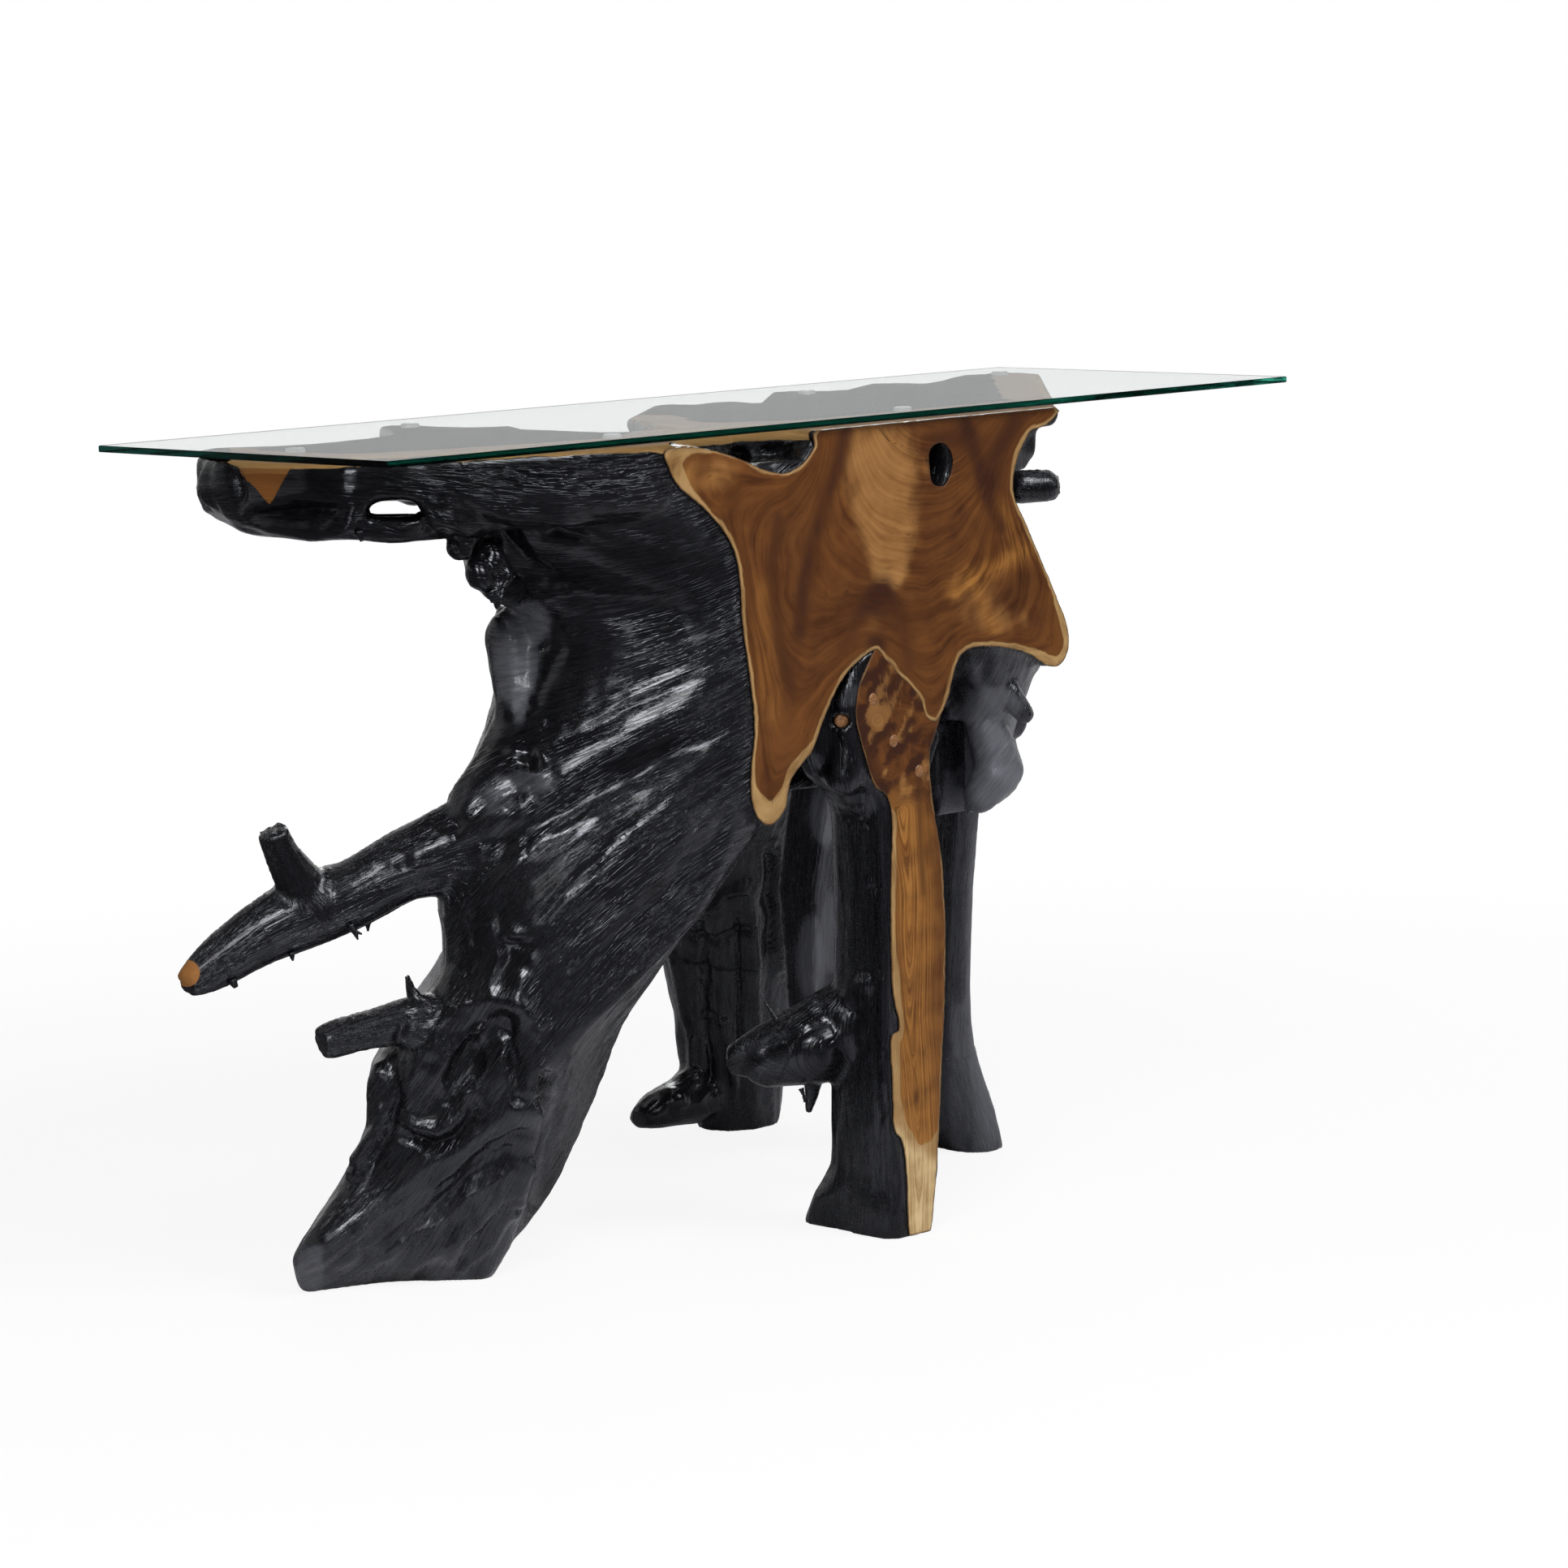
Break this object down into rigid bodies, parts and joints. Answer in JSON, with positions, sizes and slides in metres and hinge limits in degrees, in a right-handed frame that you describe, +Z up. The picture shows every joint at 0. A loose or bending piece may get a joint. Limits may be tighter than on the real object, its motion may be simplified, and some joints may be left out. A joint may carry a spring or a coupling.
{
  "type": "console table",
  "caption": "Long narrow console table: a clear glass sheet resting on a base of joined tree roots, grooved and finished black, with the sawn faces left as natural wood.",
  "frame": {"origin": "on the floor, under the middle of the outline of the whole table", "axes": "+X along the length to the end with the right leg, +Y from the sawn front face to the back, +Z up"},
  "size_m": [1.2, 0.54, 0.78],
  "materials": {
    "glass": "polished clear float glass",
    "clear_bumper": "soft clear plastic",
    "black_root": "black gloss lacquer over grooved wood",
    "natural_wood": "clear satin lacquer",
    "pale_wood": "clear satin lacquer",
    "steel": "zinc plated"
  },
  "bodies": {
    "base": {"stump": "black_root", "front_leg": "black_root", "rear_leg": "black_root", "right_leg": "black_root", "right_post": "black_root", "inner_brace": "black_root", "leg_dowels": "pale_wood", "lag_screws": "steel", "wood_plugs": "natural_wood", "glass_bumpers": "clear_bumper"},
    "glass": {"glass_top": "glass"}
  },
  "joints": [
    {"name": "glass_lift", "type": "slide", "parent": "base", "child": "glass", "axis": [0, 0, 1], "range_m": [0, 0.2]}
  ]
}
